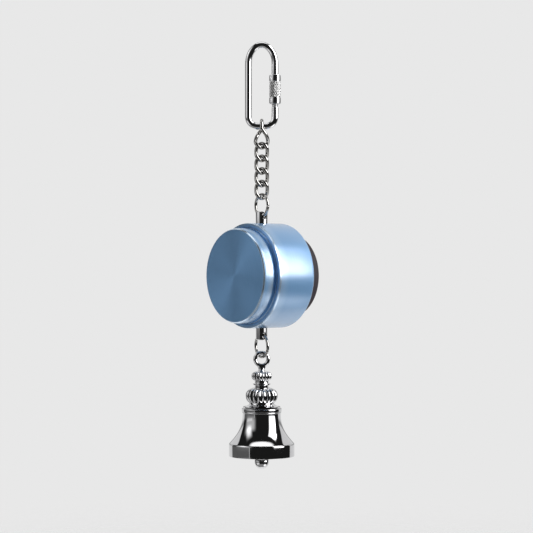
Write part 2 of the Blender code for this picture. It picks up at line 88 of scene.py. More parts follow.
def bend_wire(name, route, thickness, sides, closed=False, swell=None):
    """Bends a round wire along a route and makes it a mesh."""
    bpy.ops.curve.primitive_nurbs_path_add()
    piece = bpy.context.object
    piece.name = name
    curve = piece.data
    curve.splines.clear()
    curve.bevel_depth = thickness / 2
    curve.bevel_resolution = (sides - 4) // 2
    curve.use_fill_caps = not closed
    spline = curve.splines.new("POLY")
    spline.points.add(len(route) - 1)
    for i, place in enumerate(route):
        spline.points[i].co = (*place, 1)
        spline.points[i].radius = swell[i] if swell else 1
    spline.use_cyclic_u = closed
    spline.use_smooth = True
    bpy.ops.object.convert(target="MESH")
    bpy.ops.object.mode_set(mode="EDIT")
    bpy.ops.mesh.select_all(action="SELECT")
    bpy.ops.mesh.remove_doubles(threshold=WIRE_WELD)
    bpy.ops.mesh.normals_make_consistent(inside=False)
    bpy.ops.object.mode_set(mode="OBJECT")
    return piece


def cut_thread(piece, low, high, radius, pitch, depth, across=0):
    """Cuts a screw thread into the round surface that stands on a vertical line."""
    skin = abs(depth) * 1.5
    for vertex in piece.data.vertices:
        x, y, z = vertex.co
        reach = math.hypot(x - across, y)
        if low <= z <= high and abs(reach - radius) < skin:
            phase = (z / pitch - math.atan2(y, x - across) / math.tau) % 1
            run_out = min(1, (z - low) / pitch, (high - z) / pitch)
            factor = 1 - depth * run_out * abs(2 * phase - 1) / reach
            vertex.co = (across + (x - across) * factor, y * factor, z)


def put(tree, kind, inputs, **settings):
    """Adds a shader node, each input a value or linked from another node's output."""
    node = tree.nodes.new(kind)
    for name, value in settings.items():
        setattr(node, name, value)
    for name, value in inputs.items():
        if isinstance(value, bpy.types.NodeSocket):
            tree.links.new(value, node.inputs[name])
        else:
            node.inputs[name].default_value = value
    return node


def reckon(tree, operation, *values, **settings):
    """The result of a sum on plain values and other nodes' outputs."""
    return put(tree, "ShaderNodeMath", dict(enumerate(values)), operation=operation, **settings).outputs[0]


def rescale(tree, value, low, high, first, last):
    """A value taken from one range to another and held at its ends."""
    ends = {"Value": value, "From Min": low, "From Max": high, "To Min": first, "To Max": last}
    return put(tree, "ShaderNodeMapRange", ends).outputs[0]


def noise(tree, scale, detail, inputs, **settings):
    """The strength of a cloudy pattern."""
    inputs = {"Scale": scale, "Detail": detail, **inputs}
    return put(tree, "ShaderNodeTexNoise", inputs, **settings).outputs[0]


def shade_between(tree, amount, low, high, first, second):
    """A colour that goes from one to another as an amount rises from low to high."""
    ramp = put(tree, "ShaderNodeValToRGB", {"Fac": amount})
    ramp.color_ramp.elements[0].position = low
    ramp.color_ramp.elements[1].position = high
    ramp.color_ramp.elements[0].color = (*first, 1)
    ramp.color_ramp.elements[1].color = (*second, 1)
    return ramp.outputs["Color"]


def blend(tree, share, colour, other):
    """A node's colour mixed with a share of a plain one."""
    inputs = {"Factor": share, 6: colour, 7: (*other, 1)}
    return put(tree, "ShaderNodeMix", inputs, data_type="RGBA").outputs[2]


def blank(name):
    """A new material, with its nodes and its shader."""
    material = bpy.data.materials.new(name)
    material.use_nodes = True
    return material, material.node_tree, material.node_tree.nodes["Principled BSDF"]


def emboss(tree, shader, height, strength, distance):
    """Lets a pattern stand a little out of the surface."""
    bump = put(tree, "ShaderNodeBump", {"Strength": strength, "Distance": distance, "Height": height})
    tree.links.new(bump.outputs[0], shader.inputs["Normal"])


def plating(name, bright, dim, polish, dull, painted_shade=None):
    """A plated metal: a mirror with soft smudges and rubs, an uneven tone, and painted shade where it is
    marked.
    """
    metal, tree, shader = blank(name)
    shader.inputs["Metallic"].default_value = 1
    place = put(tree, "ShaderNodeTexCoord", {}).outputs["Object"]
    smudge = noise(tree, 170, 4, {"Vector": place, "Roughness": 0.6})
    rub = noise(tree, 1500, 3, {"Vector": place, "Distortion": 1.5})
    tone = noise(tree, 420, 6, {"Vector": place, "Roughness": 0.7})
    worn = reckon(tree, "MULTIPLY", smudge, rub)
    tree.links.new(rescale(tree, worn, 0.15, 0.45, polish, dull), shader.inputs["Roughness"])
    colour = shade_between(tree, tone, 0.3, 0.7, dim, bright)
    # Painted shade: a near-black colour laid on the marked parts, where neighbouring parts meet and shade
    # falls.
    if painted_shade:
        marked = put(tree, "ShaderNodeAttribute", {}, attribute_name="link_shade_mask").outputs["Fac"]
        patchy_shade = reckon(tree, "MULTIPLY_ADD", marked, smudge, marked)
        share = reckon(tree, "MULTIPLY", patchy_shade, PAINTED_SHADE_SHARE, use_clamp=True)
        colour = blend(tree, share, colour, painted_shade)
    tree.links.new(colour, shader.inputs["Base Color"])
    emboss(tree, shader, rub, 0.03, 0.00002)
    return metal


def fit(piece, node, body, finish, edge=35):
    """Gives a piece its finish and puts it on its body in place of the plain node."""
    bpy.ops.object.select_all(action="DESELECT")
    piece.select_set(True)
    bpy.context.view_layer.objects.active = piece
    bpy.ops.object.shade_smooth_by_angle(angle=math.radians(edge))
    piece.data.materials.clear()
    piece.data.materials.append(finish)
    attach(piece, body)
    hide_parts(node)


rod_low, rod_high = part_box("quick_link_rod")
sleeve_low, sleeve_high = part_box("quick_link_sleeve")
rod = rod_high.y - rod_low.y
leg = (rod_high.x - rod_low.x - rod) / 2
arch = rod_high.z - rod / 2 - LINK_RISE
foot = rod_low.z + rod / 2 + LINK_CORNER
travel = next(joint for joint in frame["joints"] if joint["name"] == "sleeve_travel")["range_m"][1]
gate_top = sleeve_low.z + travel + GATE_PLAY
gate_bottom = gate_top - GATE
thread_rows = [LINK_THREAD * i / LINK_THREAD_ROWS for i in range(LINK_THREAD_ROWS + 1)]
route = [(leg, gate_top + row) for row in thread_rows]
route += [(x, arch + z * LINK_RISE / leg) for x, z in sweep((0, 0), leg, 0, 180, ARCH_STEPS)]
route += sweep((LINK_CORNER - leg, foot), LINK_CORNER, 180, 270, CORNER_STEPS)
route += sweep((leg - LINK_CORNER, foot), LINK_CORNER, 270, 360, CORNER_STEPS)
route += [(leg, gate_bottom - row) for row in reversed(thread_rows)]
swell = [*LINK_TIP, *[1] * (len(route) - 2 * len(LINK_TIP)), *reversed(LINK_TIP)]
link_rod = bend_wire("bent_rod", [(x, 0, z) for x, z in route], rod, ROD_SIDES, swell=swell)
cut_thread(link_rod, gate_top, gate_top + LINK_THREAD, rod / 2, LINK_PITCH, LINK_THREAD_DEPTH, leg)
cut_thread(link_rod, gate_bottom - LINK_THREAD, gate_bottom, rod / 2, LINK_PITCH, LINK_THREAD_DEPTH, leg)
chrome = plating("chrome_plate", (0.80, 0.80, 0.81), (0.72, 0.72, 0.73), 0.035, 0.11)
fit(link_rod, "quick_link_rod", "quick_link", chrome)


# Screw sleeve: a turned steel barrel on the quick link's right leg, chrome plated like the rod.
# A band of diamond knurling lies between two plain bands, and its bore is threaded to run up the leg.
# The knurled band's plating is rougher than the rod's, and its darker colour is painted shade for the knurl's
# grooves.

SLEEVE_BAND = 0.0034
SLEEVE_EDGE = 0.0004
SLEEVE_FINE_EDGE = 0.00008
SLEEVE_MOUTH = 0.0001
SLEEVE_NECK = 0.00018
SLEEVE_NECK_WIDTH = 0.0001
SLEEVE_NECK_REACH = 0.00022
SLEEVE_BORE_PLAY = 0.00025
SLEEVE_BORE_ROWS = 90
SLEEVE_THREAD_DEPTH = 0.00018
SLEEVE_SEGMENTS = 224
KNURL_SINK = 0.00008
KNURL_ROUND = 17
KNURL_RISE = 0.00084
KNURL_DEPTH = 0.00022
KNURL_FLANK = 1.7
KNURL_FADE = 0.0003
KNURL_ROWS = 96
TURNED_WELD = 1e-6


def soften(corners, closed=True, steps=5):
    """An outline whose corners, each given with how far its rounding reaches, are rounded off."""
    outline = []
    count = len(corners)
    for i, (radius, height, reach) in enumerate(corners):
        corner = Vector((radius, height))
        if reach == 0 or (not closed and i in (0, count - 1)):
            outline.append((radius, height))
            continue
        start = corner + (Vector(corners[i - 1][:2]) - corner).normalized() * reach
        end = corner + (Vector(corners[(i + 1) % count][:2]) - corner).normalized() * reach
        for step in range(steps + 1):
            t = step / steps
            point = start * (1 - t) ** 2 + corner * 2 * t * (1 - t) + end * t * t
            outline.append(tuple(point))
    if closed:
        outline.append(outline[0])
    return outline


def spin_outline(name, outline, segments):
    """Extrudes one point along an outline of radius and height, and spins the line into a turned piece."""
    bpy.ops.mesh.primitive_plane_add(size=0.001)
    piece = bpy.context.object
    piece.name = name
    bpy.ops.object.mode_set(mode="EDIT")
    bpy.ops.mesh.select_all(action="SELECT")
    bpy.ops.mesh.merge(type="CENTER")
    bpy.ops.transform.translate(value=(outline[0][0], 0, outline[0][1]))
    for start, end in zip(outline, outline[1:]):
        step = (end[0] - start[0], 0, end[1] - start[1])
        bpy.ops.mesh.extrude_vertices_move(TRANSFORM_OT_translate={"value": step})
    bpy.ops.mesh.select_all(action="SELECT")
    bpy.ops.mesh.spin(steps=segments, angle=math.tau, center=(0, 0, 0), axis=(0, 0, 1))
    bpy.ops.mesh.select_all(action="SELECT")
    bpy.ops.mesh.remove_doubles(threshold=TURNED_WELD)
    bpy.ops.mesh.normals_make_consistent(inside=False)
    bpy.ops.object.mode_set(mode="OBJECT")
    return piece


def stand(piece, place, turn=(0, 0, 0)):
    """Moves a piece from where it was turned to its place on the toy."""
    bpy.ops.object.select_all(action="DESELECT")
    piece.select_set(True)
    bpy.context.view_layer.objects.active = piece
    piece.location = place
    piece.rotation_euler = turn
    bpy.ops.object.transform_apply(location=True, rotation=True, scale=True)
    return piece


sleeve_radius = (sleeve_high.y - sleeve_low.y) / 2
sleeve_half = (sleeve_high.z - sleeve_low.z) / 2
sleeve_middle = (sleeve_low.z + sleeve_high.z) / 2
sleeve_bore = rod / 2 + SLEEVE_BORE_PLAY
knurl_half = sleeve_half - SLEEVE_BAND
knurl_radius = sleeve_radius - KNURL_SINK
neck = sleeve_radius - SLEEVE_NECK
upper_band = [
    (sleeve_bore + SLEEVE_MOUTH, sleeve_half, SLEEVE_FINE_EDGE),
    (sleeve_radius, sleeve_half, SLEEVE_EDGE),
    (sleeve_radius, knurl_half + SLEEVE_NECK_REACH, SLEEVE_FINE_EDGE),
    (neck, knurl_half + SLEEVE_NECK_WIDTH, 0),
    (neck, knurl_half, 0),
]
lower_band = [(radius, -height, reach) for radius, height, reach in reversed(upper_band)]
knurl = [(knurl_radius, knurl_half * (1 - 2 * i / KNURL_ROWS), 0) for i in range(1, KNURL_ROWS)]
bore_shares = [0.5 - i / SLEEVE_BORE_ROWS for i in range(SLEEVE_BORE_ROWS + 1)]
bore = [(sleeve_bore, -knurl_half * 2 * share, 0) for share in bore_shares]
sleeve = spin_outline("screw_sleeve", soften(upper_band + knurl + lower_band + bore), SLEEVE_SEGMENTS)
for vertex in sleeve.data.vertices:
    x, y, z = vertex.co
    reach = math.hypot(x, y)
    if abs(z) < knurl_half and reach > (neck + knurl_radius) / 2:
        around = math.atan2(y, x) / math.tau * KNURL_ROUND
        along = z / KNURL_RISE / 2
        ridges = [1 - abs(2 * (slant % 1) - 1) for slant in (around + along, around - along)]
        share = min(1, min(ridges) * KNURL_FLANK)
        fade = min(1, (knurl_half - abs(z)) / KNURL_FADE)
        factor = 1 - KNURL_DEPTH * (1 - share * fade) / reach
        vertex.co = (x * factor, y * factor, z)
cut_thread(sleeve, -knurl_half, knurl_half, sleeve_bore, LINK_PITCH, -SLEEVE_THREAD_DEPTH)
stand(sleeve, (leg, 0, sleeve_middle))
fit(sleeve, "quick_link_sleeve", "sleeve", chrome, 50)
# Painted shade: a darker copy of the chrome on the knurled band, standing in for the shade in its grooves.
sleeve.data.materials.append(plating("knurl_shaded_plate", (0.60, 0.60, 0.60), (0.50, 0.50, 0.50), 0.28, 0.40))
for face in sleeve.data.polygons:
    reach = math.hypot(face.center.x - leg, face.center.y)
    if abs(face.center.z - sleeve_middle) < knurl_half and reach > (sleeve_bore + knurl_radius) / 2:
        face.material_index = 1


# Curb chain: five links of round steel wire, each bent to an oval, twisted and plated with nickel.
# The top link is longer and goes round the quick link's bar; each one's butt seam shows on a leg.
# Painted shade darkens the ends of each link, where it meets its neighbours.

CHAIN_WIRE = 0.00186
CHAIN_OPENING = 0.00374
CHAIN_TURN = math.radians(45)
TOP_LINK_OPENING = 0.00434
TOP_LINK_TURN = math.radians(90)
TOP_LINK_HELD = 0.00435
LEG_STEPS = 24
BEND_STEPS = 36
WIRE_SIDES = 24
SEAM_DEPTH = 0.00016
SEAM_PLACE = 12
SEAM_SHARPNESS = 1.2
CREVICE_HEIGHT = 0.0019
CREVICE_WIDTH = 0.0036

# The nickel's last colour is painted shade for the ends of the links.
nickel = plating("nickel_plate", (0.50, 0.49, 0.475), (0.35, 0.342, 0.33), 0.035, 0.10, (0.055, 0.053, 0.050))
for number in range(1, 6):
    low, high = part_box(f"chain_link_{number}")
    first = number == 1
    side = ((TOP_LINK_OPENING if first else CHAIN_OPENING) + CHAIN_WIRE) / 2
    half = (high.z - low.z - CHAIN_WIRE) / 2
    middle = (low.z + high.z) / 2
    straight = half - side
    held = TOP_LINK_HELD if first else 0
    top_turn = -TOP_LINK_TURN if first else -CHAIN_TURN
    legs = [straight * (1 - 2 * i / LEG_STEPS) for i in range(1, LEG_STEPS)]
    flat = sweep((0, straight), side, 180, 0, BEND_STEPS)
    flat += [(side, height) for height in legs]
    flat += sweep((0, -straight), side, 0, -180, BEND_STEPS)
    flat += [(-side, -height) for height in legs]
    route = []
    swell = []
    for i, (x, z) in enumerate(flat):
        share = max(0, half - z - held) / (2 * half - held)
        turn = top_turn + (CHAIN_TURN - top_turn) * share
        route.append((x * math.cos(turn), x * math.sin(turn), middle + z))
        seam = len(flat) - SEAM_PLACE - i
        swell.append(1 - SEAM_DEPTH / CHAIN_WIRE * 2 * math.exp(-(seam * SEAM_SHARPNESS) ** 2))
    link = bend_wire(f"curb_link_{number}", route, CHAIN_WIRE, WIRE_SIDES, closed=True, swell=swell)
    # Marks each link's ends, where its neighbours sit, for the painted shade.
    link_shade_mask = link.data.attributes.new("link_shade_mask", "FLOAT", "POINT")
    for vertex in link.data.vertices:
        gap = abs(abs(vertex.co.z - middle) - half + CHAIN_WIRE / 2)
        aside = math.hypot(vertex.co.x, vertex.co.y)
        mark = max(0, 1 - gap / CREVICE_HEIGHT) * max(0, 1 - aside / CREVICE_WIDTH)
        link_shade_mask.data[vertex.index].value = mark
    fit(link, f"chain_link_{number}", f"link_{number}", nickel)


# Jump rings: two open rings of thinner nickel-plated wire, above and below the drum.
# Each is closed by hand, so its cut ends stand a little out of line at the seam.

RING_WIRE = 0.0015
RING_TURN = math.radians(-58)
RING_CUT = 0.00022
RING_STEP = 0.00022
RING_STEPS = 140
RING_SPREAD = 16
RING_TIP = 0.9

for name, body, seam in (("upper", "upper_jump_ring", 94), ("lower", "lower_jump_ring", 112)):
    low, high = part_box(f"{name}_ring")
    ring_radius = (high.z - low.z - RING_WIRE) / 2
    ring_centre = (low.z + high.z) / 2
    cut = math.degrees(RING_CUT / ring_radius)
    route = []
    swell = []
    for i in range(RING_STEPS + 1):
        swing = math.radians(seam + cut / 2 + (360 - cut) * i / RING_STEPS)
        reach = ring_radius + RING_STEP * max(0, 1 - i / RING_SPREAD) ** 2
        aside = RING_STEP * max(0, 1 - (RING_STEPS - i) / RING_SPREAD) ** 2
        across = reach * math.sin(swing)
        place = Vector((across * math.cos(RING_TURN), across * math.sin(RING_TURN), 0))
        place += Vector((-math.sin(RING_TURN), math.cos(RING_TURN), 0)) * aside
        place.z = ring_centre + reach * math.cos(swing)
        route.append(place)
        swell.append(RING_TIP if i in (0, RING_STEPS) else 1)
    ring = bend_wire(f"{name}_jump_ring", route, RING_WIRE, WIRE_SIDES, swell=swell)
    fit(ring, f"{name}_ring", body, nickel)


# Drum body: a cup turned from aluminium bar and anodised blue, its open end to the front.
# Turning leaves fine lines round it, which stretch every highlight, and its edges are broken bright.
# Its faced-off front ring is more metallic and less coated than its wall, and its blue is a lighter copy of
# the wall's: painted light on that ring.

DRUM_TURN = math.radians(51)
DRUM_BORE = 0.0240
DRUM_BORE_ROUND = 0.0004
DRUM_REAR_HOLE = 0.0183
DRUM_WEB = 0.0020
DRUM_FRONT_EDGE = 0.0002
DRUM_FRONT_TAPER = 0.0010
DRUM_FRONT_BRIGHT = 0.0009
DRUM_REAR_EDGE = 0.0012
DRUM_REAR_BRIGHT = 0.0008
DRUM_SEGMENTS = 256
JOINT_EDGE = 0.0003
JOINT_BRIGHT = 0.0003
FINE_EDGE = 0.0001
SOFT_EDGE = 0.0002
ROUND_EDGE = 0.0003
WALL_HOLE = 0.0023
HOLE_BANDS = (0.0034, 0.0031)
HOLE_SEGMENTS = 48
FACE_SKIN = 0.00005
MAP_STRETCH = 20
ON_AXIS = 1e-5
BARE_METAL = (0.70, 0.85, 0.99)
BARE_ROUGHNESS = 0.16


def span(node, direction):
    """How far a node reaches along a direction, backwards and forwards."""
    reach = [vertex.co.dot(direction) for vertex in frame["nodes"][node].data.vertices]
    return min(reach), max(reach)


def wrap(piece, outline, edges):
    """Gives a turned piece a map, along its outline and around it, and marks its broken edges."""
    lengths = [0]
    for start, end in zip(outline, outline[1:]):
        lengths.append(lengths[-1] + math.dist(start, end))
    along = {}
    around = {}
    marks = piece.data.attributes.new("broken_edge", "FLOAT", "POINT")
    for vertex in piece.data.vertices:
        x, y, z = vertex.co
        point = (math.hypot(x, y), z)
        nearest = min(range(len(outline)), key=lambda i: math.dist(point, outline[i]))
        along[vertex.index] = lengths[nearest]
        around[vertex.index] = math.atan2(y, x) / math.tau if point[0] > ON_AXIS else None
        near = [1 - math.dist(point, (radius, height)) / reach for radius, height, reach in edges]
        marks.data[vertex.index].value = max(0, *near)
    layer = piece.data.uv_layers.new(name="turning")
    for face in piece.data.polygons:
        turns = [around[i] for i in face.vertices if around[i] is not None]
        crosses = max(turns) - min(turns) > 0.5
        turns = [turn + 1 if crosses and turn < 0 else turn for turn in turns]
        for loop, index in zip(face.loop_indices, face.vertices):
            turn = around[index]
            if turn is None:
                turn = sum(turns) / len(turns)
            elif crosses and turn < 0:
                turn += 1
            layer.data[loop].uv = (along[index] * MAP_STRETCH, turn)


def carve(piece, operation, tool):
    """Cuts or joins a piece with another, which is then gone."""
    modifier = piece.modifiers.new("carve", "BOOLEAN")
    modifier.operation = operation
    modifier.solver = "EXACT"
    modifier.object = tool
    bpy.context.view_layer.objects.active = piece
    bpy.ops.object.modifier_apply(modifier=modifier.name)
    bpy.data.meshes.remove(tool.data)


def anodised(name, colour, deep, roughness, metallic, skin):
    """Anodised aluminium with turning lines, a clear oxide skin, slightly uneven dye and bare edges."""
    metal, tree, shader = blank(name)
    shader.inputs["Anisotropic"].default_value = 0.70
    shader.inputs["Coat Weight"].default_value = skin
    shader.inputs["Coat Roughness"].default_value = 0.25
    shader.inputs["Coat IOR"].default_value = 2.0
    tangent = put(tree, "ShaderNodeTangent", {}, direction_type="UV_MAP", uv_map="turning")
    tree.links.new(tangent.outputs[0], shader.inputs["Tangent"])
    chart = put(tree, "ShaderNodeUVMap", {}, uv_map="turning").outputs[0]
    along = put(tree, "ShaderNodeSeparateXYZ", {"Vector": chart}).outputs["X"]
    place = put(tree, "ShaderNodeTexCoord", {}).outputs["Object"]
    fine = noise(tree, 420, 3, {"W": along}, noise_dimensions="1D")
    broad = noise(tree, 60, 2, {"W": along}, noise_dimensions="1D")
    dye = noise(tree, 55, 5, {"Vector": place, "Roughness": 0.65})
    lines = reckon(tree, "ADD", fine, broad)
    tint = reckon(tree, "MULTIPLY_ADD", lines, dye, 0.5)
    dyed = shade_between(tree, tint, 0.45, 1, deep, colour)
    worn = put(tree, "ShaderNodeAttribute", {}, attribute_name="broken_edge").outputs["Fac"]
    tree.links.new(blend(tree, worn, dyed, BARE_METAL), shader.inputs["Base Color"])
    tree.links.new(rescale(tree, worn, 0, 1, metallic, 1), shader.inputs["Metallic"])
    rough = rescale(tree, lines, 0.6, 1.4, roughness - 0.04, roughness + 0.05)
    smooth = put(tree, "ShaderNodeMix", {0: worn, 2: rough, 3: BARE_ROUGHNESS}, data_type="FLOAT")
    tree.links.new(smooth.outputs[0], shader.inputs["Roughness"])
    emboss(tree, shader, fine, 0.08, 0.00002)
    return metal


low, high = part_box("drum_body")
drum_radius = (high.z - low.z) / 2
drum_centre = Vector((0, 0, (low.z + high.z) / 2))
drum_axis = Vector((-math.sin(DRUM_TURN), -math.cos(DRUM_TURN), 0))
drum_tilt = (math.pi / 2, 0, -DRUM_TURN)
drum_rear, drum_front = span("drum_body", drum_axis)
body_outline = soften([
    (DRUM_BORE, drum_front - JOINT_EDGE, FINE_EDGE),
    (DRUM_BORE + JOINT_EDGE, drum_front, FINE_EDGE),
    (drum_radius - DRUM_FRONT_EDGE, drum_front, FINE_EDGE),
    (drum_radius, drum_front - DRUM_FRONT_TAPER, SOFT_EDGE),
    *[(drum_radius, band, 0) for band in HOLE_BANDS],
    *[(drum_radius, -band, 0) for band in reversed(HOLE_BANDS)],
    (drum_radius, drum_rear, DRUM_REAR_EDGE),
    (DRUM_REAR_HOLE, drum_rear, SOFT_EDGE),
    (DRUM_REAR_HOLE, drum_rear + DRUM_WEB, SOFT_EDGE),
    (DRUM_BORE, drum_rear + DRUM_WEB, DRUM_BORE_ROUND),
    (DRUM_BORE, -HOLE_BANDS[0], 0),
    (DRUM_BORE, HOLE_BANDS[0], 0),
])
drum = spin_outline("turned_cup", body_outline, DRUM_SEGMENTS)
wrap(drum, body_outline, [
    (drum_radius - DRUM_FRONT_EDGE / 2, drum_front - DRUM_FRONT_TAPER / 2, DRUM_FRONT_BRIGHT),
    (DRUM_BORE + JOINT_EDGE / 2, drum_front - JOINT_EDGE / 2, JOINT_BRIGHT),
    (drum_radius, drum_rear, DRUM_REAR_BRIGHT),
])
stand(drum, drum_centre, drum_tilt)
for side in (-1, 1):
    bpy.ops.mesh.primitive_cylinder_add(
        vertices=HOLE_SEGMENTS,
        radius=WALL_HOLE,
        depth=drum_radius,
        location=drum_centre + Vector((0, 0, side * drum_radius)),
    )
    carve(drum, "DIFFERENCE", bpy.context.object)
blue = anodised("blue_anodised", (0.183, 0.37, 0.63), (0.147, 0.318, 0.56), 0.48, 0.35, 1.0)
fit(drum, "drum_body", "drum", blue, 30)
# Painted light: the faced blue is a lighter copy of the wall's blue, put on the front ring.
faced_painted_light = anodised("blue_faced_painted_light", (0.235, 0.475, 0.80), (0.185, 0.405, 0.715), 0.44, 0.65, 0.12)
drum.data.materials.append(faced_painted_light)
for face in drum.data.polygons:
    if (face.center - drum_centre).dot(drum_axis) > drum_front - FACE_SKIN:
        face.material_index = 1


# Front cap: turned from the same bar and anodised with the drum, and pressed into its open end.
# Its faced-off front keeps rings of tool marks, and a narrow neck parts it from the drum's rim.

CAP_RADIUS = 0.0236
CAP_EDGE = 0.0008
CAP_EDGE_ROUND = 0.0011
CAP_EDGE_BRIGHT = 0.0007
CAP_BACK_ROUND = 0.00015
CAP_NECK_RADIUS = 0.0228
CAP_NECK = 0.0020
CAP_PLAY = 0.0001
CAP_HOLLOW = 0.0200
CAP_HOLLOW_ROUND = 0.0005
CAP_FACE = 0.0031
CAP_FACE_RINGS = (0.0005, 0.008)

cap_end, cap_face = span("front_cap", drum_axis)
cap_fit = DRUM_BORE - CAP_PLAY
cap_outline = soften(
    [
        (0, cap_face, 0),
        *[(ring, cap_face, 0) for ring in CAP_FACE_RINGS],
        (CAP_RADIUS - CAP_EDGE, cap_face, SOFT_EDGE),
        (CAP_RADIUS, cap_face - CAP_EDGE, CAP_EDGE_ROUND),
        (CAP_RADIUS, drum_front + CAP_NECK, CAP_BACK_ROUND),
        (CAP_NECK_RADIUS, drum_front + CAP_NECK, FINE_EDGE),
        (CAP_NECK_RADIUS, drum_front, SOFT_EDGE),
        (cap_fit - JOINT_EDGE, drum_front, FINE_EDGE),
        (cap_fit, drum_front - JOINT_EDGE, FINE_EDGE),
        (cap_fit, cap_end, ROUND_EDGE),
        (CAP_HOLLOW, cap_end, ROUND_EDGE),
        (CAP_HOLLOW, cap_face - CAP_FACE, CAP_HOLLOW_ROUND),
        (0, cap_face - CAP_FACE, 0),
    ],
    closed=False,
)
cap = spin_outline("faced_cap", cap_outline, DRUM_SEGMENTS)
wrap(cap, cap_outline, [
    (CAP_RADIUS - CAP_EDGE / 2, cap_face - CAP_EDGE / 2, CAP_EDGE_BRIGHT),
    (CAP_RADIUS, drum_front + CAP_NECK, JOINT_BRIGHT),
    (DRUM_BORE - JOINT_EDGE / 2, drum_front - JOINT_EDGE / 2, JOINT_BRIGHT),
])
stand(cap, drum_centre, drum_tilt)
fit(cap, "front_cap", "drum", blue, 30)
# The cap's face and neck take the lighter faced blue, painted light.
cap.data.materials.append(faced_painted_light)
for face in cap.data.polygons:
    height = (face.center - drum_centre).dot(drum_axis)
    if height > cap_face - FACE_SKIN or height < drum_front + CAP_NECK + FACE_SKIN:
        face.material_index = 1


# Rear plug: a charcoal rubber bung with a rounded rim, snapped into the hole in the drum's rear wall.
# It is moulded, with a fine even grain, a shallow dished back and a little dust in its surface.

PLUG_RADIUS = 0.0205
PLUG_NECK = 0.0181
PLUG_SNAP = 0.0012
PLUG_LIP = 0.0020
PLUG_RIM = 0.0010
PLUG_PLAY = 0.0001
PLUG_DISH = 0.0004
PLUG_DISH_START = 0.0026
PLUG_DISH_END = 0.0034
PLUG_DISH_ROUND = 0.0006
PLUG_SEGMENTS = 192

plug_end, plug_front = span("rear_plug", drum_axis)
plug_outline = soften(
    [
        (0, plug_front, 0),
        (PLUG_NECK, plug_front, ROUND_EDGE),
        (PLUG_NECK + PLUG_SNAP, plug_front - PLUG_LIP, SOFT_EDGE),
        (PLUG_NECK, plug_front - PLUG_LIP, FINE_EDGE),
        (PLUG_NECK, drum_rear - PLUG_PLAY, FINE_EDGE),
        (PLUG_RADIUS, drum_rear - PLUG_PLAY, ROUND_EDGE),
        (PLUG_RADIUS, plug_end, PLUG_RIM),
        (PLUG_RADIUS - PLUG_DISH_START, plug_end, PLUG_DISH_ROUND),
        (PLUG_RADIUS - PLUG_DISH_END, plug_end + PLUG_DISH, PLUG_DISH_ROUND),
        (0, plug_end + PLUG_DISH, 0),
    ],
    closed=False,
    steps=8,
)
plug = spin_outline("rubber_bung", plug_outline, PLUG_SEGMENTS)
stand(plug, drum_centre, drum_tilt)
rubber, tree, shader = blank("charcoal_rubber")
shader.inputs["Specular IOR Level"].default_value = 0.18
place = put(tree, "ShaderNodeTexCoord", {}).outputs["Object"]
grain = noise(tree, 2600, 3, {"Vector": place})
dust = noise(tree, 90, 6, {"Vector": place, "Roughness": 0.7})
dusted = shade_between(tree, dust, 0.35, 0.75, (0.036, 0.029, 0.033), (0.060, 0.050, 0.056))
tree.links.new(dusted, shader.inputs["Base Color"])
tree.links.new(rescale(tree, grain, 0.3, 0.7, 0.55, 0.72), shader.inputs["Roughness"])
emboss(tree, shader, grain, 0.25, 0.00004)
fit(plug, "rear_plug", "drum", rubber)


# Posts: two turned steel studs, chrome plated and drilled across for the jump rings.
# The shank below each one's shoulder is threaded and goes through the drum's wall.

POSTS = (("upper", 1, (0, 0, 0)), ("lower", -1, (math.pi, 0, 0)))
POST_RADIUS = 0.0030
POST_EDGE = 0.0003
POST_SEAT = 0.0001
POST_WEB = 0.0008
POST_HOLE = 0.0029
POST_HOLE_EDGE = 0.0003
POST_SEGMENTS = 64
DRILL_OVERRUN = 0.0003
SHANK_RADIUS = 0.0020
SHANK_TIP = 0.0003
SHANK_PLAIN = 0.0015
SHANK_PITCH = 0.0007
SHANK_THREAD_DEPTH = 0.00028
PITCH_ROWS = 8

for name, up, tip in POSTS:
    level = drum_centre.z * up
    shank_end, post_top = [end - level for end in span(f"{name}_post", Vector((0, 0, up)))]
    shoulder = drum_radius - POST_SEAT
    shank_tip = shank_end + SHANK_TIP
    rows = int((shoulder - shank_tip) / SHANK_PITCH * PITCH_ROWS)
    post_outline = soften(
        [
            (0, post_top, 0),
            (POST_RADIUS - POST_EDGE, post_top, FINE_EDGE),
            (POST_RADIUS, post_top - POST_EDGE, FINE_EDGE),
            (POST_RADIUS, shoulder, 0),
            *[(SHANK_RADIUS, shoulder + (shank_tip - shoulder) * i / rows, 0) for i in range(rows)],
            (SHANK_RADIUS, shank_tip, 0),
            (SHANK_RADIUS - SHANK_TIP, shank_end, 0),
            (0, shank_end, 0),
        ],
        closed=False,
    )
    post = spin_outline(f"{name}_stud", post_outline, POST_SEGMENTS)
    cut_thread(post, shank_tip, shoulder - SHANK_PLAIN, SHANK_RADIUS, SHANK_PITCH, SHANK_THREAD_DEPTH)
    hole_flare = POST_HOLE / 2 + POST_HOLE_EDGE + DRILL_OVERRUN
    drill_half = [
        (0, POST_RADIUS + DRILL_OVERRUN, 0),
        (hole_flare, POST_RADIUS + DRILL_OVERRUN, 0),
        (POST_HOLE / 2, POST_RADIUS - POST_HOLE_EDGE, SOFT_EDGE),
    ]
    drill_outline = drill_half + [(radius, -height, reach) for radius, height, reach in reversed(drill_half)]
    drill = spin_outline("cross_drill", soften(drill_outline, closed=False), HOLE_SEGMENTS)
    stand(drill, (0, 0, post_top - POST_HOLE / 2 - POST_WEB), (0, math.pi / 2, RING_TURN * up))
    carve(post, "DIFFERENCE", drill)
    stand(post, drum_centre, tip)
    fit(post, f"{name}_post", "drum", chrome)


# Washers and nuts: zinc-plated steel, inside the drum on each post's shank.
# The washer's upper side is curved to sit in the bore, and the nut is a chamfered hexagon.

